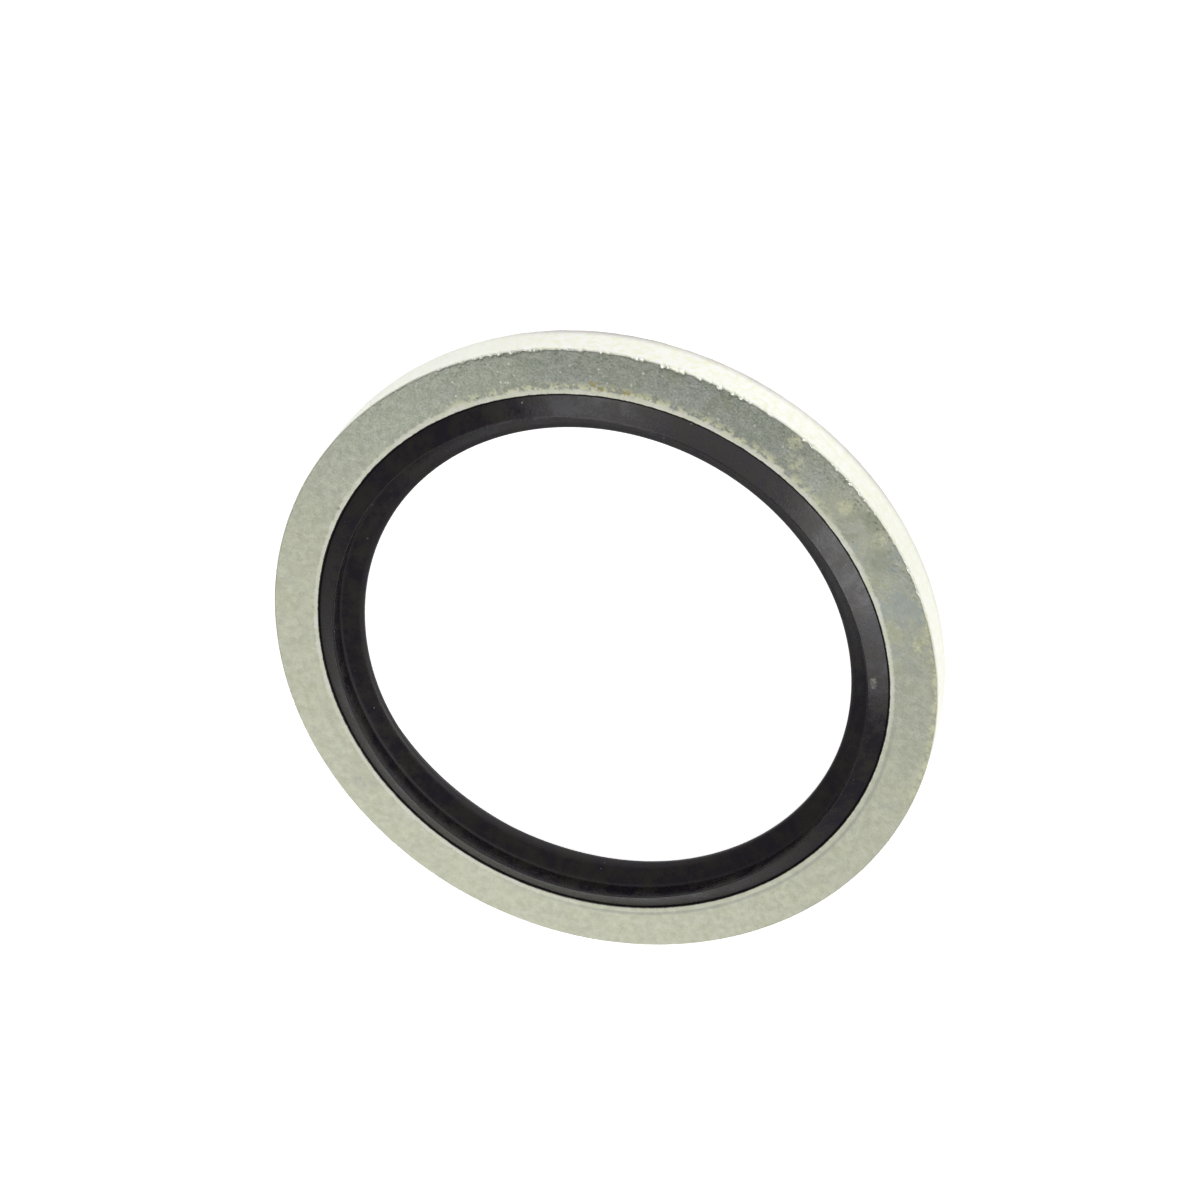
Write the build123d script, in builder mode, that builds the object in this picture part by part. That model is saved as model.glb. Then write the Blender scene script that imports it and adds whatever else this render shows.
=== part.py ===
from build123d import *
import os

# A self-centring bonded sealing washer for a G 1 1/4 pipe thread: a flat steel ring with a rubber
# moulding vulcanised into its bore. The rubber has a raised conical lip on each side, and a tapered
# web that reaches in past the lips to grip the root of the thread and hold the washer central.
# +Z is the axis of the bore, and the origin is on that axis, half-way through the thickness.

# The thread that the washer is made for (mm)
thread_root_diameter = 38.95
thread_depth = 1.48

# The web that centres the washer on the thread
web_grip = 0.225                # the web's tip is this far inside the thread's root, on the radius
web_tip_thickness = 0.6
web_root_thickness = 1.9
web_tip_radius = 0.12

# The lips, the same on both sides
throat_clearance = 0.045        # from the thread's crests out to the inner wall of the lips
lip_height = 0.75               # from the ring's face up to the crest
lip_width = 1.38                # from the throat out to the foot of the cone
crest_width = 0.22
crest_chamfer = 0.05

# The gutter between the lip and the ring
gutter_width = 0.14
gutter_depth = 0.14             # from the ring's face down to the rubber

# The steel ring
ring_width = 3.67               # from the bore out to the rim
ring_thickness = 3.38
rim_edge_chamfer = 0.12
bore_edge_chamfer = 0.1

# Radii, worked out from the thread
web_bore_radius = thread_root_diameter / 2 - web_grip
throat_radius = thread_root_diameter / 2 + thread_depth + throat_clearance
lip_foot_radius = throat_radius + lip_width
ring_bore_radius = lip_foot_radius + gutter_width

# Levels above the middle of the thickness
face_level = ring_thickness / 2
crest_level = face_level + lip_height
gutter_level = face_level - gutter_depth
web_tip_level = web_tip_thickness / 2
web_root_level = web_root_thickness / 2


# The steel ring: a plain rectangular section, with the edges of its rim and bore broken
with BuildPart() as metal_ring:
    with BuildSketch(Plane.XZ):
        with Locations((ring_bore_radius, 0)):
            Rectangle(ring_width, ring_thickness, align=(Align.MIN, Align.CENTER))
    revolve(axis=Axis.Z)
    circles = metal_ring.edges().filter_by(GeomType.CIRCLE).group_by(SortBy.RADIUS)
    chamfer(circles[-1], length=rim_edge_chamfer)
    chamfer(circles[0], length=bore_edge_chamfer)
metal_ring.part.label = "metal_ring"


# The rubber moulding: one section turned about the axis. Its outer wall is the bonded face, and
# fills the ring's bore as far as the gutters. Each corner is a radius and a level in the upper half.
web_tip = (web_bore_radius, web_tip_level)
web_root = (throat_radius, web_root_level)
crest_inside = (throat_radius, crest_level)
crest_outside = (throat_radius + crest_width, crest_level)
cone_foot = (lip_foot_radius, face_level)
gutter_inside = (lip_foot_radius, gutter_level)
gutter_outside = (ring_bore_radius, gutter_level)
upper_half = [web_tip, web_root, crest_inside, crest_outside, cone_foot, gutter_inside, gutter_outside]
lower_half = [(radius, -level) for radius, level in reversed(upper_half)]


def both_corners(section, place):
    """The corner of the section at this place, and its mirror image in the lower half."""
    radius, level = place
    return [section.vertices().sort_by_distance(point)[0] for point in ((radius, level), (radius, -level))]


with BuildPart() as rubber_seal:
    with BuildSketch(Plane.XZ) as section:
        with BuildLine():
            Polyline(*upper_half, *lower_half, close=True)
        make_face()
        fillet(both_corners(section, web_tip), radius=web_tip_radius)
        chamfer(both_corners(section, crest_inside), length=crest_chamfer)
    revolve(axis=Axis.Z)
rubber_seal.part.label = "rubber_seal"


os.makedirs("parts", exist_ok=True)
export_step(metal_ring.part, "parts/metal_ring.step")
export_step(rubber_seal.part, "parts/rubber_seal.step")
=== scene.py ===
import math
import bmesh
import bpy
from mathutils import Matrix, Vector, noise


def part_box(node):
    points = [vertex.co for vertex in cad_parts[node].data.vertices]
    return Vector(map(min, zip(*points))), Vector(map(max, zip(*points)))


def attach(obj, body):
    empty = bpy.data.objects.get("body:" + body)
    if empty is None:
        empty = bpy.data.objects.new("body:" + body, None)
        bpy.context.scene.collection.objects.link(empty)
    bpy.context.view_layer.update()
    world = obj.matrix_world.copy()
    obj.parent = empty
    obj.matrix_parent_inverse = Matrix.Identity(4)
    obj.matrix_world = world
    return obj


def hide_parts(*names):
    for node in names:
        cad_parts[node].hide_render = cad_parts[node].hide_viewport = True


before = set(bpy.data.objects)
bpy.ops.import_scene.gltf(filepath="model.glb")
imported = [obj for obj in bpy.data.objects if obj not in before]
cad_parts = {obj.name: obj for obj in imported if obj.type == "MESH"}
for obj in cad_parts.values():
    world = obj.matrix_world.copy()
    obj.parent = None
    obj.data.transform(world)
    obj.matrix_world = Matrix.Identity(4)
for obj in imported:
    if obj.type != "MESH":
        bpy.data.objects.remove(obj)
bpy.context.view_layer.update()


# The steel ring is blanked from flat strip, so its section is a plain rectangle, and it is tumbled
# with others, which rounds its edges and leaves them nicked. It is zinc plated and passivated:
# satin and pale greenish yellow on its faces, and bright where the die has burnished its rim.
rim_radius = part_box("metal_ring")[1].x
ring_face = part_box("metal_ring")[1].z
ring_bore_radius = 0.02252
rim_rounding = 0.00007
bore_rounding = 0.00008
ring_facets = 1600
edge_strips = (0.00012, 0.00006, 0.00008, 0.0001, 0.00016)


def turn_section(section, facets):
    mesh = bmesh.new()
    corners = [mesh.verts.new((radius, 0, level)) for radius, level in section]
    for corner, following in zip(corners, corners[1:] + corners[:1]):
        mesh.edges.new((corner, following))
    bmesh.ops.spin(
        mesh, geom=mesh.verts[:] + mesh.edges[:], cent=(0, 0, 0), axis=(0, 0, 1),
        angle=math.tau, steps=facets, use_merge=True)
    bmesh.ops.recalc_face_normals(mesh, faces=mesh.faces[:])
    return mesh


def round_corners(mesh, corner_radius, corner_level, rounding, segments):
    corners = [edge for edge in mesh.edges if all(
        abs(vert.co.to_2d().length - corner_radius) < 1e-6 and abs(abs(vert.co.z) - corner_level) < 1e-7
        for vert in edge.verts)]
    bmesh.ops.bevel(
        mesh, geom=corners, offset=rounding, offset_type="OFFSET", segments=segments, profile=0.5,
        affect="EDGES", material=-1)


def clamp(value, low, high):
    return min(high, max(low, value))


def link_piece(mesh, name):
    data = bpy.data.meshes.new(name)
    mesh.to_mesh(data)
    mesh.free()
    piece = bpy.data.objects.new(name, data)
    bpy.context.scene.collection.objects.link(piece)
    return piece


ring_mesh = turn_section((
    (ring_bore_radius, -ring_face), (rim_radius, -ring_face),
    (rim_radius, ring_face), (ring_bore_radius, ring_face)), ring_facets)
bands = {"upper face": [], "lower face": [], "rim": []}
for face in ring_mesh.faces:
    if face.normal.z > 0.9:
        bands["upper face"].append(face)
    elif face.normal.z < -0.9:
        bands["lower face"].append(face)
    elif face.calc_center_median().to_2d().length > (rim_radius + ring_bore_radius) / 2:
        bands["rim"].append(face)
for band in bands.values():
    for strip in edge_strips:
        bmesh.ops.inset_region(
            ring_mesh, faces=band, thickness=strip, use_boundary=True, use_even_offset=True)
round_corners(ring_mesh, rim_radius, ring_face, rim_rounding, 3)
round_corners(ring_mesh, ring_bore_radius, ring_face, bore_rounding, 3)

# the blanking rolls the faces down a little at the bore, and the tumbling nicks the corners of the
# rim, most on the near side and on the upper corner
least_worn = 0.08
lower_share = 0.25
nick_reach = 0.0005
nick_depth = 0.00026
knock_depth = 0.00012
roll_width = 0.0003
roll_depth = 0.000015
roll_fade = 0.0005
for vert in ring_mesh.verts:
    radius = vert.co.to_2d().length
    side = math.copysign(1, vert.co.z)
    around = Vector((vert.co.x / radius, vert.co.y / radius, side * 0.7))
    from_rim = rim_radius - radius
    from_bore = radius - ring_bore_radius
    from_face = ring_face - abs(vert.co.z)
    worn = clamp(-2.2 * around.y - 0.75, least_worn, 1.0) * (1.0 if side > 0 else lower_share)
    worn *= clamp(0.9 + 1.2 * noise.noise(around * 4.5 + Vector((9, 1, 0))), 0.45, 1.0)
    worn *= clamp(1.2 + 1.2 * around.x, 0.5, 1.0)
    if from_rim + from_face < nick_reach:
        fine = noise.fractal(around * 78, 0.7, 2.1, 3)
        coarse = noise.noise(around * 27 + Vector((3, 5, 2)))
        knock = max(0.0, noise.noise(around * 21 + Vector((7, 3, 1))) - 0.25)
        nick = nick_depth * max(0.0, fine + coarse * 0.4 + 0.28) + knock_depth * knock
        cut = rim_rounding + worn * nick
        push = max(0.0, (cut - from_rim - from_face) / 2)
        radius -= push
        vert.co = (around.x * radius, around.y * radius, vert.co.z - side * push)
    fade = max(0.0, 1 - from_face / roll_fade)
    bore_roll = max(0.0, 1 - from_bore / roll_width) ** 2 * roll_depth
    vert.co.z -= side * fade * bore_roll
for face in ring_mesh.faces:
    face.smooth = True
plated_ring = link_piece(ring_mesh, "plated_ring")
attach(plated_ring, "root")
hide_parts("metal_ring")


def new_finish(name):
    finish = bpy.data.materials.new(name)
    finish.use_nodes = True
    tree = finish.node_tree
    return finish, tree, tree.nodes["Principled BSDF"]


def add_node(tree, kind, settings=None, inputs=None):
    node = tree.nodes.new(kind)
    for name, value in (settings or {}).items():
        setattr(node, name, value)
    for name, value in (inputs or {}).items():
        if isinstance(value, bpy.types.NodeSocket):
            tree.links.new(value, node.inputs[name])
        else:
            node.inputs[name].default_value = value
    return node


def add_mix(tree, factor, first, second):
    mix = add_node(tree, "ShaderNodeMix", {"data_type": "RGBA"}, {0: factor, 6: first, 7: second})
    return mix.outputs[2]


def add_blend(tree, factor, first, second):
    blend = add_node(tree, "ShaderNodeMix", {"data_type": "FLOAT"}, {0: factor, 2: first, 3: second})
    return blend.outputs[0]


def add_range(tree, value, start, end, low=0.0, high=1.0):
    reach = add_node(tree, "ShaderNodeMapRange", {"interpolation_type": "SMOOTHSTEP"}, {
        "Value": value, "From Min": start, "From Max": end, "To Min": low, "To Max": high})
    return reach.outputs["Result"]


def add_noise(tree, where, scale, detail, roughness=0.55):
    speckle = add_node(tree, "ShaderNodeTexNoise", None, {
        "Vector": where, "Scale": scale, "Detail": detail, "Roughness": roughness})
    return speckle.outputs["Fac"]


def add_math(tree, operation, *values):
    result = add_node(tree, "ShaderNodeMath", {"operation": operation}, dict(enumerate(values)))
    return result.outputs["Value"]


def add_sum(tree, first, second):
    return add_math(tree, "ADD", first, second)


def add_product(tree, first, second):
    return add_math(tree, "MULTIPLY", first, second)


def add_either(tree, first, second):
    return add_math(tree, "MAXIMUM", first, second)


def add_along(tree, place, direction):
    along = add_node(tree, "ShaderNodeVectorMath", {"operation": "DOT_PRODUCT"}, {0: place, 1: direction})
    return along.outputs["Value"]


def add_radius(tree, place):
    flat = add_node(tree, "ShaderNodeVectorMath", {"operation": "MULTIPLY"}, {0: place, 1: (1, 1, 0)})
    length = add_node(tree, "ShaderNodeVectorMath", {"operation": "LENGTH"}, {0: flat.outputs["Vector"]})
    return length.outputs["Value"]


def add_spots(tree, place, size, *centres):
    spots = 0.0
    for centre in centres:
        away = add_node(tree, "ShaderNodeVectorMath", {"operation": "DISTANCE"}, {0: place, 1: centre})
        spots = add_either(tree, spots, add_range(tree, away.outputs["Value"], size, size * 0.3))
    return spots


def add_flecks(tree, place, scale, size, share):
    cells = add_node(tree, "ShaderNodeTexVoronoi", None, {"Vector": place, "Scale": scale})
    chance = add_node(tree, "ShaderNodeSeparateColor", None, {"Color": cells.outputs["Color"]}).outputs["Red"]
    flecks = add_range(tree, cells.outputs["Distance"], size, size * 0.4)
    return add_product(tree, flecks, add_math(tree, "LESS_THAN", chance, share))


def on_face(*spots):
    return [(x, y, ring_face) for x, y in spots]


zinc_plate, zinc, zinc_surface = new_finish("zinc_plate")
zinc_place = add_node(zinc, "ShaderNodeTexCoord").outputs["Object"]
zinc_axes = add_node(zinc, "ShaderNodeSeparateXYZ", None, {"Vector": zinc_place})
zinc_radius = add_radius(zinc, zinc_place)
grain = add_noise(zinc, zinc_place, 6000.0, 2.0, 0.6)
mottle = add_noise(zinc, zinc_place, 2100.0, 3.0, 0.6)
tint = add_noise(zinc, zinc_place, 700.0, 3.0, 0.6)
drift = add_noise(zinc, zinc_place, 170.0, 2.0)
tone = add_sum(zinc, add_product(zinc, grain, 0.65), add_product(zinc, mottle, 0.35))
tone = add_range(zinc, tone, 0.34, 0.66)

# the clean plate
green = add_mix(zinc, tone, (0.583, 0.598, 0.454, 1), (0.642, 0.659, 0.514, 1))
grey = add_mix(zinc, tone, (0.586, 0.598, 0.478, 1), (0.646, 0.660, 0.539, 1))
clean_zinc = add_mix(zinc, add_range(zinc, tint, 0.3, 0.7), green, grey)

# the near side, where it is handled, is stained in clouds of olive and slate, with one patch spared
toward_hand = add_along(zinc, zinc_place, (0.26, -0.97, 0))
handled_side = add_range(zinc, toward_hand, 0.0, 0.026)
stain = add_product(zinc, handled_side, add_range(zinc, drift, 0.3, 0.55, 0.6, 1.0))
spared = add_product(zinc, add_spots(zinc, zinc_place, 0.0055, *on_face((-0.0122, -0.0212))), 0.75)
stain = add_product(zinc, stain, add_math(zinc, "SUBTRACT", 1.0, spared))
clouds = add_noise(zinc, zinc_place, 300.0, 2.0)
clouds = add_sum(zinc, add_product(zinc, tint, 0.4), add_product(zinc, clouds, 0.6))
slate_share = add_product(
    zinc, add_range(zinc, clouds, 0.41, 0.59),
    add_range(zinc, zinc_axes.outputs["X"], 0.008, 0.018, 1.0, 0.25))
olive = add_mix(zinc, tone, (0.405, 0.443, 0.360, 1), (0.600, 0.638, 0.535, 1))
slate = add_mix(zinc, tone, (0.450, 0.478, 0.450, 1), (0.652, 0.682, 0.635, 1))
stained_zinc = add_mix(zinc, slate_share, olive, slate)
face_colour = add_mix(zinc, stain, clean_zinc, stained_zinc)
dappled = add_spots(zinc, zinc_place, 0.0085, *on_face((-0.0172, -0.0172)))
cool = add_product(zinc, dappled, add_range(zinc, clouds, 0.46, 0.58, 0.0, 0.7))
face_colour = add_mix(zinc, cool, face_colour, (0.47, 0.525, 0.49, 1))
warm = add_product(zinc, dappled, add_range(zinc, clouds, 0.50, 0.41, 0.0, 0.6))
face_colour = add_mix(zinc, warm, face_colour, (0.56, 0.585, 0.40, 1))

# dark pits and scars, thickest beside the nicked corner of the rim
struck_side = add_range(zinc, add_along(zinc, zinc_place, (0.1, -0.99, 0)), 0.012, 0.022)
near_rim = add_product(zinc, struck_side, add_range(zinc, zinc_radius, 0.0244, 0.0257))
scars = add_range(zinc, add_noise(zinc, zinc_place, 3400.0, 3.0, 0.7), 0.55, 0.66)
scars = add_either(zinc, scars, add_flecks(zinc, zinc_place, 2600.0, 0.5, 0.3))
pits = add_product(zinc, handled_side, add_flecks(zinc, zinc_place, 2200.0, 0.3, 0.08))
pits = add_either(zinc, add_product(zinc, near_rim, scars), pits)
face_colour = add_mix(zinc, add_product(zinc, pits, 0.55), face_colour, (0.25, 0.285, 0.18, 1))

# painted shade darkens two patches, a fainter third and a thin band along the rim
painted_shade = add_spots(zinc, zinc_place, 0.010, *on_face((0.0093, -0.0240), (-0.0008, -0.0255)))
painted_shade_rim = add_product(
    zinc, add_range(zinc, toward_hand, 0.0215, 0.0245), add_range(zinc, zinc_radius, 0.02560, 0.02605))
faint_painted_shade = add_product(zinc, add_spots(zinc, zinc_place, 0.009, *on_face((-0.0232, -0.0110))), 0.4)
painted_shade = add_either(zinc, add_either(zinc, painted_shade, painted_shade_rim), faint_painted_shade)
shade_colour = add_mix(zinc, tone, (0.290, 0.325, 0.250, 1), (0.470, 0.485, 0.435, 1))
face_colour = add_mix(zinc, add_product(zinc, painted_shade, 0.55), face_colour, shade_colour)
# glints are painted on the near side as pale flecks
painted_glints = add_product(zinc, handled_side, add_flecks(zinc, zinc_place, 2400.0, 0.32, 0.16))
face_colour = add_mix(zinc, add_product(zinc, painted_glints, 0.6), face_colour, (0.86, 0.86, 0.76, 1))

# the passivation is yellower in patches beside the bore, in five blotches, and along the left rim
patches = add_product(
    zinc, add_range(zinc, zinc_radius, 0.0238, 0.0230), add_range(zinc, mottle, 0.44, 0.56))
patches = add_product(zinc, patches, add_range(zinc, toward_hand, 0.015, 0.0215, 0.0, 1.2))
blotches = add_spots(zinc, zinc_place, 0.0010, *on_face(
    (-0.0058, -0.0235), (-0.0106, -0.0222), (-0.0140, -0.0212), (-0.0202, -0.0148), (-0.0051, -0.0251)))
blotches = add_product(zinc, blotches, add_range(zinc, mottle, 0.4, 0.7))
fringe = add_range(zinc, add_along(zinc, zinc_place, (-0.91, -0.42, 0)), 0.0235, 0.0255)
fringe = add_product(zinc, add_range(zinc, zinc_radius, 0.0255, 0.0261), fringe)
fringe = add_product(zinc, fringe, add_range(zinc, mottle, 0.4, 0.6))
patches = add_either(zinc, add_either(zinc, patches, blotches), fringe)
face_colour = add_mix(zinc, add_product(zinc, patches, 0.75), face_colour, (0.84, 0.84, 0.54, 1))

# grime lies on the near side, smudges on the far right, and a scuffed line round the far left
grime = add_spots(zinc, zinc_place, 0.0015, *on_face(
    (-0.0125, -0.0221), (-0.0115, -0.0206), (-0.0146, -0.0195), (0.0045, -0.0253), (0.0010, -0.0254)))
grime = add_product(zinc, grime, add_range(zinc, tint, 0.6, 0.45))
face_colour = add_mix(zinc, add_product(zinc, grime, 0.55), face_colour, (0.38, 0.41, 0.31, 1))
smudges = add_spots(
    zinc, zinc_place, 0.0012, *on_face((0.0124, 0.0208), (0.0131, 0.0190), (0.0113, 0.0201)))
smudges = add_product(zinc, smudges, add_range(zinc, mottle, 0.45, 0.6))
rubbed = add_range(zinc, add_along(zinc, zinc_place, (-0.87, 0.5, 0)), 0.010, 0.021)
scuff = add_product(
    zinc, add_range(zinc, zinc_radius, 0.02290, 0.02304), add_range(zinc, zinc_radius, 0.02332, 0.02314))
smudges = add_either(zinc, smudges, add_product(zinc, scuff, rubbed))
face_colour = add_mix(zinc, add_product(zinc, smudges, 0.75), face_colour, (0.45, 0.46, 0.40, 1))

# a pale line with a ragged edge is painted round the bore as a highlight, and the rim's corner is painted
# pale as a highlight
pale_start = ring_bore_radius + 0.00016
raggedness = add_product(
    zinc, add_math(zinc, "SUBTRACT", mottle, 0.5), add_range(zinc, handled_side, 0.1, 0.9, 0.0002, 0.0005))
pale_width = add_sum(zinc, add_range(zinc, handled_side, 0.0, 1.0, 0.00022, 0.00034), raggedness)
painted_edge_highlight = add_math(zinc, "SUBTRACT", zinc_radius, pale_start)
painted_edge_highlight = add_range(zinc, add_math(zinc, "DIVIDE", painted_edge_highlight, pale_width), 1.5, 0.6)
painted_edge_highlight = add_product(zinc, painted_edge_highlight, add_range(zinc, grain, 0.3, 0.6, 0.7, 1.0))
painted_edge_highlight = add_product(zinc, painted_edge_highlight, add_range(zinc, rubbed, 0.0, 1.0, 1.0, 0.1))
painted_corner_highlight = add_range(zinc, zinc_radius, rim_radius - 0.00012, rim_radius - 0.00006)
painted_edge_highlight = add_either(zinc, painted_edge_highlight, painted_corner_highlight)
highlight_colour = add_mix(zinc, add_range(zinc, tint, 0.4, 0.6), (0.78, 0.80, 0.64, 1), (0.83, 0.83, 0.73, 1))
face_colour = add_mix(zinc, painted_edge_highlight, face_colour, highlight_colour)

# seven glints painted as bright specks, four blots of rust with a dense spot among them, and one dent
painted_glint_specks = add_spots(zinc, zinc_place, 0.00013, *on_face(
    (0.01895, -0.01610), (0.01525, -0.01825), (0.01575, -0.01800), (0.00975, -0.02275),
    (0.00675, -0.02415), (0.01830, -0.01520), (0.01580, -0.01965)))
face_colour = add_mix(zinc, add_product(zinc, painted_glint_specks, 0.8), face_colour, (0.95, 0.95, 0.80, 1))
rust = add_spots(zinc, zinc_place, 0.00050, *on_face(
    (0.0090, -0.0215), (0.0082, -0.0218), (0.0072, -0.0220), (0.0096, -0.0215)))
rust = add_product(zinc, rust, add_range(zinc, add_noise(zinc, zinc_place, 5000.0, 2.0, 0.5), 0.51, 0.60))
rust = add_either(zinc, rust, add_spots(zinc, zinc_place, 0.00021, *on_face((0.00890, -0.02145))))
rust_colour = add_mix(zinc, add_range(zinc, tint, 0.4, 0.6), (0.62, 0.46, 0.12, 1), (0.44, 0.36, 0.11, 1))
face_colour = add_mix(zinc, add_product(zinc, rust, 0.8), face_colour, rust_colour)
dent = add_spots(zinc, zinc_place, 0.00022, *on_face((0.02290, -0.00155)))
face_colour = add_mix(zinc, add_product(zinc, dent, 0.6), face_colour, (0.30, 0.31, 0.20, 1))

# the rim is burnished where the die cut it, with painted shade low down and at the left and painted light at
# the right
wall_colour = add_mix(
    zinc, add_range(zinc, mottle, 0.36, 0.58), (0.93, 0.94, 0.75, 1), (1.0, 1.0, 0.95, 1))
# a dark band painted low on the rim is shade: the shadow under the ring, as the rim would reflect it
painted_shadow_band = add_range(zinc, add_noise(zinc, zinc_place, 110.0, 3.0), 0.35, 0.6, 0.55, 1.0)
painted_shadow_band = add_product(zinc, add_range(zinc, zinc_axes.outputs["Z"], -0.0007, -0.0018), painted_shadow_band)
painted_shadow_band = add_product(zinc, painted_shadow_band, add_range(zinc, zinc_axes.outputs["Y"], -0.012, -0.025, 0.3, 1.0))
wall_colour = add_mix(zinc, painted_shadow_band, wall_colour, (0.42, 0.365, 0.380, 1))
# the left of the rim is painted darker as shade and the right is painted whiter as light
painted_shade_left = add_range(zinc, zinc_axes.outputs["X"], 0.0, -0.018, 0.0, 0.48)
wall_colour = add_mix(zinc, painted_shade_left, wall_colour, (0.72, 0.725, 0.62, 1))
painted_light_right = add_range(zinc, zinc_axes.outputs["X"], 0.013, 0.020, 0.0, 0.8)
wall_colour = add_mix(zinc, painted_light_right, wall_colour, (0.99, 1.0, 0.90, 1))
below_face = add_math(zinc, "SUBTRACT", ring_face, add_math(zinc, "ABSOLUTE", zinc_axes.outputs["Z"]))
burnish = add_range(zinc, below_face, 0.00005, 0.00009)
steel_colour = add_mix(zinc, burnish, face_colour, wall_colour)

# a film of rubber flash covers the edge of the bore, narrower on the far side
flash = add_product(zinc, add_math(zinc, "SUBTRACT", mottle, 0.5), 0.00012)
flash = add_sum(zinc, flash, add_range(zinc, zinc_axes.outputs["Y"], 0.002, 0.010, 0.0, 0.00004))
flash = add_range(zinc, add_sum(zinc, flash, zinc_radius), 0.02264, 0.02260)
ring_colour = add_mix(zinc, flash, steel_colour, (0.016, 0.014, 0.014, 1))
zinc.links.new(ring_colour, zinc_surface.inputs["Base Color"])
bare = add_math(zinc, "SUBTRACT", 1.0, add_either(zinc, flash, add_product(zinc, painted_edge_highlight, 0.7)))
zinc.links.new(bare, zinc_surface.inputs["Metallic"])
satin = add_range(zinc, mottle, 0.25, 0.75, 0.40, 0.30)
zinc.links.new(add_blend(zinc, burnish, satin, 0.3), zinc_surface.inputs["Roughness"])
zinc_relief = add_sum(zinc, add_product(zinc, mottle, 0.6), grain)
zinc_relief = add_math(zinc, "SUBTRACT", zinc_relief, pits)
zinc_bump = add_node(
    zinc, "ShaderNodeBump", None, {"Strength": 1.0, "Distance": 0.000009, "Height": zinc_relief})
zinc.links.new(zinc_bump.outputs["Normal"], zinc_surface.inputs["Normal"])
plated_ring.data.materials.append(zinc_plate)


# The seal is black nitrile rubber, moulded and vulcanised into the ring's bore in one shot. On each
# side a conical lip stands proud of the ring behind a narrow gutter, and between the lips a tapered
# web reaches in to the thread. It has a low sheen, the mould's fine grain and a little dust on it.
web_tip = (0.01925, 0.00004)
web_root = (0.021, 0.00095)
crest_inside = (0.021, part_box("rubber_seal")[1].z)
crest_outside = (0.02107, crest_inside[1])
cone_belly = (0.02177, 0.00203)
cone_foot = (0.02246, 0.00160)
gutter_inside = (0.02247, 0.00157)
gutter_outside = (ring_bore_radius, gutter_inside[1])
seal_facets = 840

# the web swells from its round tip, runs out in a straight taper, and sweeps up towards its root
web_reach = web_root[0] - web_tip[0]
web_sweep = [(0.01926, 0.00010), (0.01929, 0.00017)]
tip_level = 0.0001475
tip_swell = 0.00021
tip_swell_reach = 0.00028
web_taper = 0.161
root_sweep = 0.00031
for along in (0.00009, 0.00018, 0.00028, 0.0004, 0.00056, 0.00076, 0.001, 0.00122, 0.0014, 0.00155, 0.00166):
    swell = tip_swell * (1 - math.exp(-along / tip_swell_reach))
    sweep = root_sweep * (along / web_reach) ** 2
    web_sweep.append((web_tip[0] + along, tip_level + web_taper * along + swell + sweep))
upper_half = [web_tip, *web_sweep, web_root, crest_inside, crest_outside, cone_belly]
upper_half += [cone_foot, gutter_inside, gutter_outside]
lower_half = [(radius, -level) for radius, level in reversed(upper_half)]
seal_mesh = turn_section(upper_half + lower_half, seal_facets)

# its corners are rounded, and a narrow margin round the large faces keeps their shading even
fillet = 0.00001
crest_inside_rounding = 0.000035
crest_outside_rounding = 0.00003
round_corners(seal_mesh, *web_root, fillet, 4)
round_corners(seal_mesh, *crest_inside, crest_inside_rounding, 4)
round_corners(seal_mesh, *crest_outside, crest_outside_rounding, 4)
round_corners(seal_mesh, *cone_foot, fillet, 4)
large_face = 8e-8
margin = 0.000015
large_faces = [face for face in seal_mesh.faces if face.calc_area() > large_face]
bmesh.ops.inset_region(
    seal_mesh, faces=large_faces, thickness=margin, use_boundary=True, use_even_offset=True)

# the thin web springs in and out where it left the mould: each spring has a bearing and a spread in
# degrees, and an amount
springs = ((170, 40, 0.00026), (50, 24, 0.00023), (105, 20, -0.00014), (-75, 45, -0.00009))
for vert in seal_mesh.verts:
    radius = vert.co.to_2d().length
    freedom = clamp((web_root[0] - radius) / web_reach, 0.0, 1.0)
    bearing = math.degrees(math.atan2(vert.co.y, vert.co.x))
    spring = 0.0
    for centre, spread, amount in springs:
        turn = (bearing - centre + 180) % 360 - 180
        spring += amount * math.exp(-(turn / spread) ** 2)
    vert.co.x += vert.co.x / radius * spring * freedom
    vert.co.y += vert.co.y / radius * spring * freedom
for face in seal_mesh.faces:
    face.smooth = True
moulded_seal = link_piece(seal_mesh, "moulded_seal")
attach(moulded_seal, "root")
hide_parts("rubber_seal")

black_rubber, rubber, rubber_surface = new_finish("black_rubber")
rubber_place = add_node(rubber, "ShaderNodeTexCoord").outputs["Object"]
rubber_axes = add_node(rubber, "ShaderNodeSeparateXYZ", None, {"Vector": rubber_place})
rubber_radius = add_radius(rubber, rubber_place)
bloom = add_noise(rubber, rubber_place, 620.0, 4.0, 0.75)
rubber_grain = add_noise(rubber, rubber_place, 5200.0, 2.0)
rubber_colour = add_mix(
    rubber, add_range(rubber, bloom, 0.3, 0.7), (0.0060, 0.0030, 0.0105, 1), (0.0165, 0.0130, 0.0090, 1))

# dust lies on it, a pale glint is painted on the left lip, and a grey highlight is painted along the near
# right of the crest
dust = add_product(rubber, add_flecks(rubber, rubber_place, 1500.0, 0.12, 0.10), 0.6)
dust = add_either(rubber, dust, add_spots(
    rubber, rubber_place, 0.00009, (0.01925, 0.00845, 0.00230), (-0.01955, 0.00505, 0.00065),
    (-0.01520, 0.01225, 0.00040), (0.00805, -0.01970, 0.00240), (0.00950, -0.02020, 0.00160),
    (0.01235, -0.01600, 0.00065), (0.01370, -0.01740, 0.00180)))
rubber_colour = add_mix(rubber, dust, rubber_colour, (0.30, 0.29, 0.28, 1))
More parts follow.
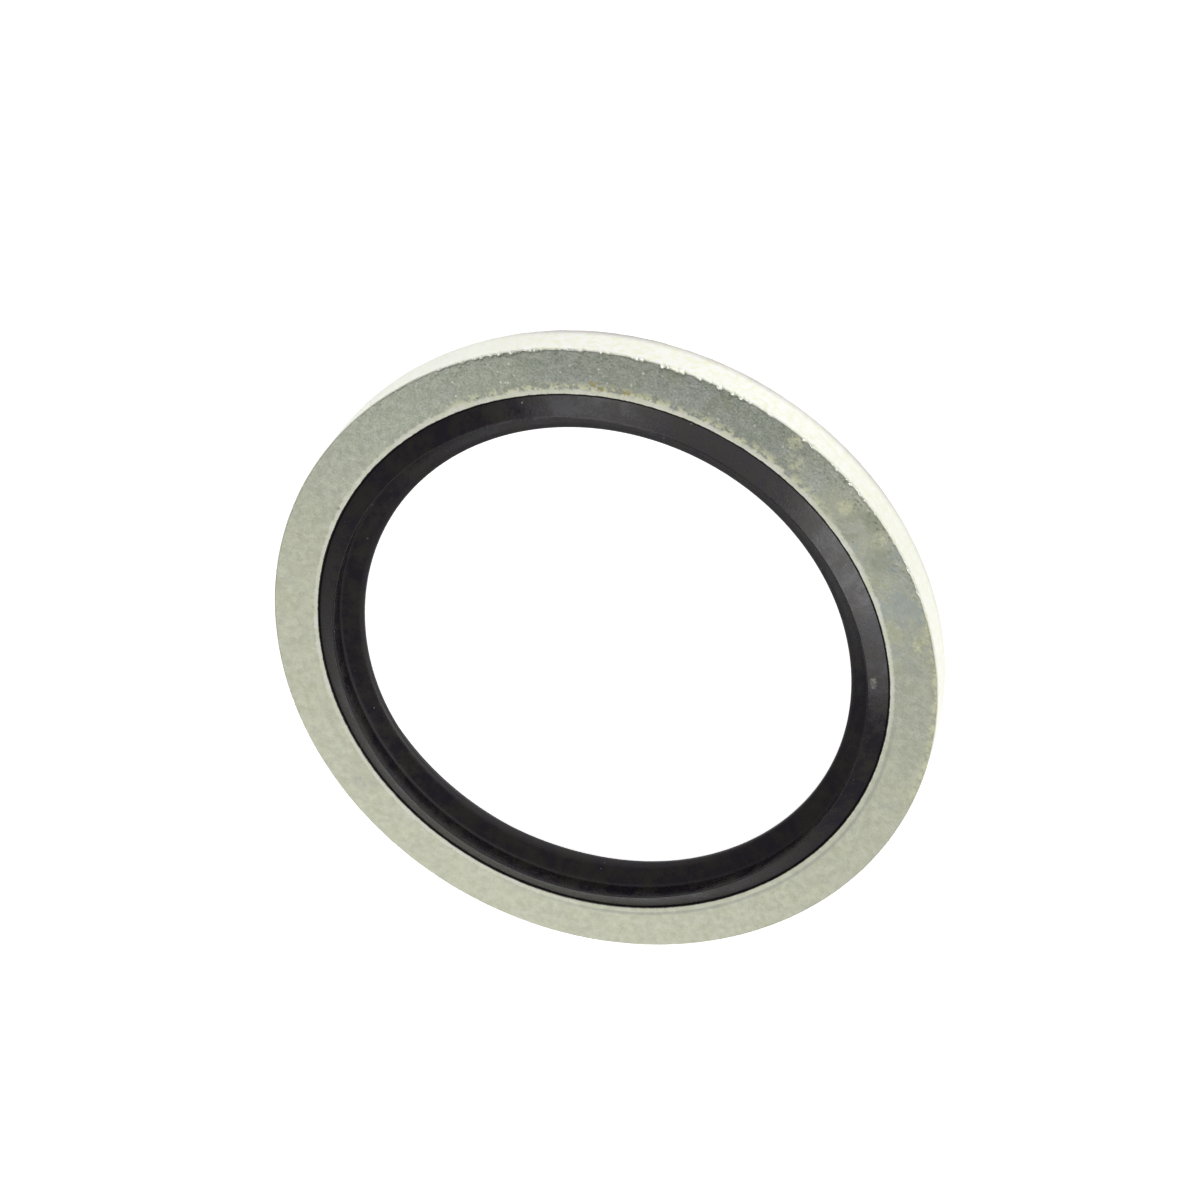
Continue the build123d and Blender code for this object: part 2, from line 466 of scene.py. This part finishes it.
# a painted highlight: a pale glint on the left lip
painted_lip_glint = add_spots(
    rubber, rubber_place, 0.00034, (-0.01880, -0.01045, 0.00225), (-0.01865, -0.01065, 0.00225),
    (-0.01890, -0.01020, 0.00225))
painted_lip_glint = add_product(rubber, painted_lip_glint, add_range(rubber, rubber_grain, 0.4, 0.6, 0.3, 1.0))
rubber_colour = add_mix(rubber, painted_lip_glint, rubber_colour, (0.16, 0.165, 0.13, 1))
# a painted highlight along the crest on the near right
painted_crest_highlight = add_range(rubber, add_along(rubber, rubber_place, (0.5, -0.87, 0)), 0.0190, 0.0206)
painted_crest_highlight = add_product(rubber, painted_crest_highlight, add_range(rubber, rubber_axes.outputs["Z"], 0.00236, 0.00243))
painted_crest_highlight = add_product(rubber, painted_crest_highlight, add_range(rubber, bloom, 0.35, 0.6, 0.4, 1.0))
rubber_colour = add_mix(rubber, painted_crest_highlight, rubber_colour, (0.055, 0.050, 0.055, 1))
rubber.links.new(rubber_colour, rubber_surface.inputs["Base Color"])

# the mould leaves a low sheen, and the trimmed tip, the root of the web and the crest are rougher
throat_corners = add_either(
    rubber, add_range(rubber, rubber_axes.outputs["Z"], 0.00110, 0.00100),
    add_range(rubber, rubber_axes.outputs["Z"], 0.00225, 0.00240))
throat_wall = add_product(
    rubber, add_range(rubber, rubber_radius, 0.0208, 0.0209),
    add_range(rubber, rubber_radius, 0.02108, 0.02104))
throat_corners = add_product(rubber, throat_corners, throat_wall)
trimmed = add_either(rubber, add_range(rubber, rubber_radius, 0.0198, 0.0194), throat_corners)
sheen = add_range(rubber, bloom, 0.3, 0.7, 0.18, 0.35)
rubber.links.new(add_blend(rubber, trimmed, sheen, 0.55), rubber_surface.inputs["Roughness"])
rubber_surface.inputs["Specular IOR Level"].default_value = 0.47
rubber_relief = add_sum(rubber, add_product(rubber, bloom, 2.0), rubber_grain)
rubber_bump = add_node(
    rubber, "ShaderNodeBump", None, {"Strength": 0.9, "Distance": 0.000006, "Height": rubber_relief})
rubber.links.new(rubber_bump.outputs["Normal"], rubber_surface.inputs["Normal"])
moulded_seal.data.materials.append(black_rubber)


# The washer lies on a plain white table, on the crest of its lower lip. The table shows white to
# the camera and in the metal, and keeps the washer's shadow.
table_half_width = 6.0
table_mesh = bmesh.new()
bmesh.ops.create_grid(table_mesh, x_segments=1, y_segments=1, size=table_half_width)
bmesh.ops.translate(table_mesh, verts=table_mesh.verts[:], vec=(0, 0, -crest_inside[1]))
table = link_piece(table_mesh, "table")
white_table = bpy.data.materials.new("white_table")
white_table.use_nodes = True
white = white_table.node_tree
white.nodes.remove(white.nodes["Principled BSDF"])
camera_glow = 0.8
metal_glow = 0.60
seen = add_node(white, "ShaderNodeLightPath")
in_metal = add_sum(white, seen.outputs["Is Glossy Ray"], seen.outputs["Is Transmission Ray"])
in_camera = add_product(white, seen.outputs["Is Camera Ray"], camera_glow)
shown = add_sum(white, add_product(white, in_metal, metal_glow), in_camera)
paint = add_node(white, "ShaderNodeBsdfDiffuse", None, {"Color": (0.9, 0.9, 0.9, 1)})
glow = add_node(white, "ShaderNodeEmission", None, {"Color": (1, 1, 1, 1), "Strength": shown})
table_paint = add_node(
    white, "ShaderNodeAddShader", None, {0: paint.outputs["BSDF"], 1: glow.outputs["Emission"]})
white.links.new(table_paint.outputs["Shader"], white.nodes["Material Output"].inputs["Surface"])
table.data.materials.append(white_table)


# The studio round it is pale at the horizon and dimmer overhead, with five soft boxes: one behind
# the washer, one below the camera, two on the left, and one on the right.
studio = bpy.data.worlds.new("studio")
studio.use_nodes = True
bpy.context.scene.world = studio
sky = studio.node_tree
sky_direction = add_node(sky, "ShaderNodeTexCoord").outputs["Generated"]
sky_axes = add_node(sky, "ShaderNodeSeparateXYZ", None, {"Vector": sky_direction})
horizon_strength = 0.5
overhead_strength = 0.25
sky_strength = add_range(sky, sky_axes.outputs["Z"], 0.0, 0.3, horizon_strength, overhead_strength)
sky.nodes["Background"].inputs["Color"].default_value = (1, 1, 1, 1)
sky.links.new(sky_strength, sky.nodes["Background"].inputs["Strength"])


def add_softbox(name, direction, distance, width, height, power):
    lamp = bpy.data.lights.new(name, "AREA")
    lamp.shape = "RECTANGLE"
    lamp.size = width
    lamp.size_y = height
    lamp.energy = power
    softbox = bpy.data.objects.new(name, lamp)
    bpy.context.scene.collection.objects.link(softbox)
    softbox.location = Vector(direction).normalized() * distance
    softbox.rotation_euler = softbox.location.to_track_quat("Z", "Y").to_euler()
    softbox.visible_camera = False


add_softbox("back_softbox", (-0.01, 0.742, 0.670), 0.60, 0.41, 0.46, 0.48)
add_softbox("front_softbox", (0, -0.77, 0.64), 0.55, 0.70, 0.44, 0.88)
add_softbox("left_softbox", (-0.66, -0.37, 0.66), 0.50, 0.25, 0.19, 0.70)
add_softbox("far_left_softbox", (-0.86, 0.0, 0.51), 0.50, 0.14, 0.16, 0.17)
add_softbox("right_softbox", (0.50, -0.49, 0.71), 0.50, 0.22, 0.18, 0.26)


# The camera looks down at the washer from the near side, 57 degrees above the table, and is turned
# over, so that the far side of the washer is at the lower left.
camera_place = Vector((0, -0.11949, 0.17560))
camera_aim = Vector((0.002047, -0.004178, 0))
camera_roll = -151.33
camera_data = bpy.data.cameras.new("camera")
camera_data.lens = 82.96
camera_data.sensor_width = 36.0
camera_data.clip_start = 0.01
camera = bpy.data.objects.new("camera", camera_data)
bpy.context.scene.collection.objects.link(camera)
camera.location = camera_place
camera.rotation_mode = "QUATERNION"
camera.rotation_quaternion = (camera_aim - camera_place).to_track_quat("-Z", "Y") @ Matrix.Rotation(
    math.radians(camera_roll), 3, "Z").to_quaternion()
bpy.context.scene.camera = camera
bpy.context.scene.view_settings.view_transform = "Standard"
